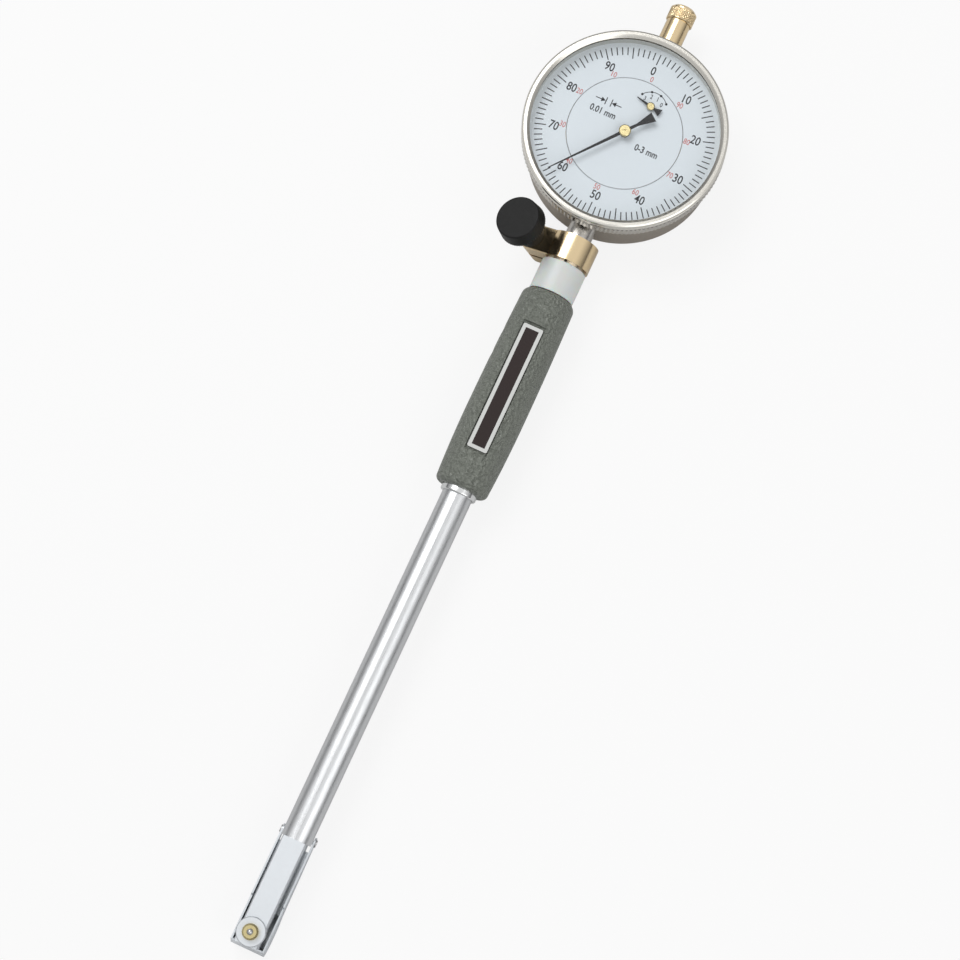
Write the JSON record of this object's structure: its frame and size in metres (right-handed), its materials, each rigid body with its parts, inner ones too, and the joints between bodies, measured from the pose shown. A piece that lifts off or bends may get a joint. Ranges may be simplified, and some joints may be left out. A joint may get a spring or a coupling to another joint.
{
  "type": "dial bore gauge",
  "caption": "Dial bore gauge: round dial indicator clamped on a grip and long tube, with a right-angle measuring head and centring bridge.",
  "frame": {"origin": "middle of the overall width and length, on the surface that the gauge lies on", "axes": "+Y along the gauge towards the indicator, +Z out of the dial, +X to the right of the dial"},
  "size_m": [0.06, 0.3014, 0.0261],
  "materials": {
    "tube_steel": "satin drawn tube",
    "grip_paint": "hammered grey-green paint",
    "strip_dark": "dark strip with a pale border",
    "collar_white": "milky plastic",
    "ferrule_chrome": "bright plated",
    "stem_steel": "turned",
    "clamp_gold": "pale gold plating",
    "knob_black": "moulded black",
    "steel_parts": "ground steel",
    "head_satin": "satin plated",
    "anvil_brass": "turned brass",
    "case_satin": "satin lacquered metal",
    "bezel_nickel": "bright nickel",
    "crystal_clear": "clear",
    "dial_white": "matt pale dial paint",
    "pointer_black": "satin black",
    "movement_brass": "plain brass"
  },
  "bodies": {
    "gauge_body": {"main_tube": "tube_steel", "grip": "grip_paint", "grip_plate": "strip_dark", "upper_collar": "collar_white", "lower_ferrule": "ferrule_chrome", "stem_collet": "stem_steel", "stem_clamp": "clamp_gold", "head_block": "head_satin", "anvil": "anvil_brass", "anvil_ball": "steel_parts", "anvil_disc": "head_satin", "plunger_bush": "anvil_brass", "crank_pin": "steel_parts", "bridge_pin": "steel_parts", "bridge_leaf": "steel_parts", "upper_rod_guide": "anvil_brass", "lower_rod_guide": "anvil_brass", "rod_spring": "steel_parts"},
    "clamp_screw_unit": {"clamp_knob": "knob_black", "clamp_screw": "steel_parts"},
    "indicator": {"dial_case": "case_satin", "case_back": "case_satin", "case_back_screws": "steel_parts", "stem": "stem_steel", "top_sleeve": "clamp_gold", "centre_dial": "dial_white", "movement_plate_front": "movement_brass", "movement_plate_rear": "movement_brass", "plate_pillars": "steel_parts", "centre_cock": "movement_brass"},
    "dust_cap_unit": {"dust_cap": "clamp_gold"},
    "bezel_unit": {"bezel": "bezel_nickel", "crystal": "crystal_clear", "scale_ring": "dial_white"},
    "spindle_unit": {"spindle": "steel_parts", "contact_point": "steel_parts"},
    "centre_arbor": {"centre_pinion": "steel_parts", "main_pointer": "pointer_black"},
    "counter_arbor": {"counter_wheel": "movement_brass", "counter_pointer": "pointer_black"},
    "takeup_arbor": {"takeup_wheel": "movement_brass", "hairspring": "steel_parts"},
    "rod_unit": {"push_rod": "steel_parts"},
    "plunger_unit": {"plunger": "steel_parts", "plunger_tip": "steel_parts"},
    "crank_unit": {"bell_crank": "steel_parts"},
    "bridge_unit": {"centring_bridge": "head_satin"}
  },
  "joints": [
    {"name": "pointer_turn", "type": "hinge", "parent": "indicator", "child": "centre_arbor", "pos_m": [0, 0.1055, 0.011], "axis": [0, 0, 1], "range_deg": [-432, 0]},
    {"name": "plunger_travel", "type": "slide", "parent": "gauge_body", "child": "plunger_unit", "axis": [0, 0, 1], "range_m": [0, 0.0012], "stiffness_N_per_m": 300, "springref_m": -0.003},
    {"name": "crank_rock", "type": "hinge", "parent": "gauge_body", "child": "crank_unit", "pos_m": [0, -0.1429, 0.009], "axis": [1, 0, 0], "range_deg": [-27.6, 0]},
    {"name": "rod_travel", "type": "slide", "parent": "gauge_body", "child": "rod_unit", "axis": [0, 1, 0], "range_m": [0, 0.0012]},
    {"name": "spindle_travel", "type": "slide", "parent": "indicator", "child": "spindle_unit", "axis": [0, 1, 0], "range_m": [0, 0.0012]},
    {"name": "counter_turn", "type": "hinge", "parent": "indicator", "child": "counter_arbor", "pos_m": [0.00369, 0.1158, 0.011], "axis": [0, 0, 1], "range_deg": [0, 43.3]},
    {"name": "takeup_turn", "type": "hinge", "parent": "indicator", "child": "takeup_arbor", "pos_m": [-0.0044, 0.09548, 0.011], "axis": [0, 0, 1], "range_deg": [0, 43.3]},
    {"name": "bezel_turn", "type": "hinge", "parent": "indicator", "child": "bezel_unit", "pos_m": [0, 0.1055, 0.011], "axis": [0, 0, 1], "continuous": true},
    {"name": "dial_swivel", "type": "hinge", "parent": "gauge_body", "child": "indicator", "pos_m": [0, 0.1055, 0.011], "axis": [0, 1, 0], "continuous": true},
    {"name": "clamp_knob_turn", "type": "hinge", "parent": "gauge_body", "child": "clamp_screw_unit", "pos_m": [-0.01038, 0.06815, 0.0068], "axis": [-0.3746, 0, 0.9272], "range_deg": [0, 720]},
    {"name": "bridge_hinge", "type": "hinge", "parent": "gauge_body", "child": "bridge_unit", "pos_m": [0, -0.1165, 0.0087], "axis": [-1, 0, 0], "range_deg": [0, 1.5], "stiffness_Nm_per_rad": 0.3, "springref_deg": -11.46},
    {"name": "dust_cap_lift", "type": "slide", "parent": "indicator", "child": "dust_cap_unit", "axis": [0, 1, 0], "range_m": [0, 0.0055]}
  ],
  "couplings": [
    {"joint": "pointer_turn", "follows": "plunger_travel", "rad_per_m": -6283.2},
    {"joint": "crank_rock", "follows": "plunger_travel", "rad_per_m": -400},
    {"joint": "rod_travel", "follows": "plunger_travel", "ratio": 1},
    {"joint": "spindle_travel", "follows": "plunger_travel", "ratio": 1},
    {"joint": "counter_turn", "follows": "plunger_travel", "rad_per_m": 628.32},
    {"joint": "takeup_turn", "follows": "plunger_travel", "rad_per_m": 628.32}
  ]
}
